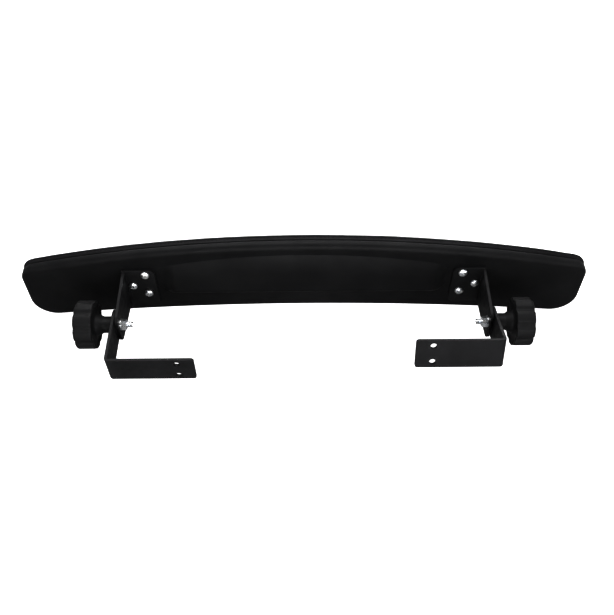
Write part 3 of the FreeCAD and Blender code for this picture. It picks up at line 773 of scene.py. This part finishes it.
def knob_profile():
    """The knob's section from its hub, over the rim, to the recess for the cap."""
    r, t = KNOB_RADIUS, KNOB_THICK
    inner = [(3.05, HUB_TIP), (HUB_RADIUS - 0.6, HUB_TIP), (HUB_RADIUS - 0.1, HUB_TIP + 0.3),
             (HUB_RADIUS, HUB_TIP + 0.9), (HUB_RADIUS, HUB_TIP + 5), (HUB_RADIUS, -7.8)]
    flare = [(8.7, -7.2), (9.4, -5.8), (10.3, -4.0), (10.8, -3.0), (11.1, -2.3), (11.3, -1.3),
             (11.7, -0.4), (12.5, 0.2)]
    dish = [(14, 0.7), (16, 1.1), (18, 1.3), (20, 1.2), (21.8, 0.8), (23, 0.3), (24.0, 0)]
    rim = [(r - 0.9 + 0.9 * math.sin(a), 0.9 - 0.9 * math.cos(a))
           for a in (math.pi / 2 * k / 4 for k in range(1, 5))]
    rim += [(r, t * share) for share in (0.12, 0.25, 0.4, 0.55, 0.7, 0.8)]
    rim += [(r - 2.8 + 2.8 * math.cos(a), t - 2.8 + 2.8 * math.sin(a))
            for a in (math.pi / 2 * k / 5 for k in range(0, 6))]
    face = [(20.6, t - 0.05), (18, t - 0.25), (15, t - 0.6), (12.6, t - 0.6), (11.2, t - 0.25),
            (10.4, t), (10.05, t - 0.15), (10, t - 0.5), (10, t - 2), (6, t - 2)]
    seat = [(6, HEAD_SEAT), (3.05, HEAD_SEAT), (3.05, HUB_TIP)]
    return inner + flare + dish + rim + face + seat


def make_knobs():
    """Each knob with its threaded stud and the cap over the stud's head."""
    cap = ((0, 0), (CAP_RADIUS - 0.15, 0), (CAP_RADIUS - 0.05, 0.6), (CAP_RADIUS - 0.05, 1.5),
           (CAP_RADIUS - 0.35, 1.85), (8.6, 1.97), (5, 2.0), (0, 2.0))
    for name, side in SIDES:
        place = outward(side, KNOB_FACE)
        points, faces = turned(knob_profile(), 216, lobed)
        mesh = build(f"{name}_lobed_knob", [place(p) for p in points], faces)
        knob = put(f"{name}_lobed_knob", mesh, f"{name}_hand_knob", KNOB, 50)
        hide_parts(f"{name}_knob")

        points, faces = turned(cap, 72)
        place_cap = outward(side, KNOB_FACE + KNOB_THICK - 2)
        mesh = build(f"{name}_dome_cap", [place_cap(p) for p in points], faces)
        dome = put(f"{name}_dome_cap", mesh, f"{name}_hand_knob", KNOB, 40)
        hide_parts(f"{name}_knob_cap")

        tip = STUD_TIP - KNOB_FACE
        rod = thread(STUD_RADIUS, 1, HEAD_SEAT - tip)
        head = hexagonal(NUT_FLATS, 0, HEAD_THICK)
        parts = [([p + Vector((0, 0, tip)) for p in rod[0]], rod[1]),
                 ([p + Vector((0, 0, HEAD_SEAT)) for p in head[0]], head[1])]
        points, faces = join(parts)
        mesh = build(f"{name}_threaded_stud", [place(p) for p in points], faces)
        stud = put(f"{name}_threaded_stud", mesh, f"{name}_hand_knob", ZINC, 30)
        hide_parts(f"{name}_knob_stud")


# ---------------------------------------------------------------- camera and light

def make_camera():
    """Looks down on the pad from behind and above."""
    camera = shown("camera", bpy.data.cameras.new("camera"))
    camera.data.lens = 46.83
    camera.data.sensor_width = 36
    camera.data.clip_start = 0.01
    camera.location = at(3.0, -547.6, 601.9)
    tilt = Matrix.Rotation(math.radians(37.92), 3, "X")
    roll = Matrix.Rotation(math.radians(-0.47), 3, "Z")
    camera.rotation_euler = (tilt @ roll).to_euler()
    bpy.context.scene.camera = camera


def area_light(name, power, size, place, target, spared):
    """A soft box aimed at a target; it doesn't light the objects in the spared collection."""
    data = bpy.data.lights.new(name, "AREA")
    data.energy = power
    data.shape = "RECTANGLE"
    data.size, data.size_y = size
    light = shown(name, data)
    light.location = place
    light.rotation_euler = (target - place).to_track_quat("-Z", "Y").to_euler()
    light.light_linking.receiver_collection = spared


def make_studio():
    """A pale floor that shines softly by itself, so that no shadow shows on it, and soft boxes."""
    scene = bpy.context.scene
    scene.view_settings.view_transform = "Standard"
    scene.view_settings.gamma = GAMMA
    world = bpy.data.worlds.new("studio")
    world.use_nodes = True
    world.node_tree.nodes["Background"].inputs["Color"].default_value = (1, 1, 1, 1)
    world.node_tree.nodes["Background"].inputs["Strength"].default_value = WORLD
    scene.world = world
    bpy.ops.mesh.primitive_cylinder_add(vertices=96, radius=15, depth=12, location=(0, 0, 5.9995))
    floor = bpy.context.object
    floor.name = "floor"
    work = bmesh.new()
    work.from_mesh(floor.data)
    ceiling = [face for face in work.faces if face.normal.z > 0.9]
    bmesh.ops.delete(work, geom=ceiling, context="FACES")
    work.to_mesh(floor.data)
    work.free()
    white = plain("floor_white", (0.8, 0.8, 0.8), 0.8, specular=0)
    shader = white.node_tree.nodes["Principled BSDF"]
    shader.inputs["Emission Color"].default_value = (1, 1, 1, 1)
    shader.inputs["Emission Strength"].default_value = FLOOR_GLOW
    floor.data.materials.append(white)
    own = bpy.data.collections.new("lit_by_the_floor")
    own.objects.link(floor)
    floor.light_linking.receiver_collection = own
    spared = bpy.data.collections.new("spared_by_soft_boxes")
    spared.objects.link(floor)
    spared.collection_objects[0].light_linking.link_state = "EXCLUDE"
    middle = at(0, 0, -50)
    area_light("overhead", KEY, (1.6, 0.9), at(0, 350, 1200), middle, spared)
    area_light("front", FRONT, (1.4, 0.8), at(0, 1200, 100), middle, spared)
    area_light("rear", REAR, (0.6, 0.5), at(0, -800, 150), middle, spared)
    for side, share in ((-1, 0.5), (1, 1)):
        area_light("side_rear", SIDE_REAR * share, (0.6, 0.5), at(side * 600, -900, 250),
                   at(side * 150, 0, -50), spared)
        area_light("side", FILL * share, (0.5, 0.5), at(side * 850, -200, 250),
                   at(side * 280, 0, -50), spared)


GAMMA, WORLD, FLOOR_GLOW = 0.66, 0.15, 1.0
KEY, FRONT, REAR, SIDE_REAR, FILL = 50, 30, 10, 4, 2
make_camera()
make_studio()
finish_cad_nodes()
make_shell()
make_cushion()
make_screws()
make_pivot_hardware()
make_knobs()
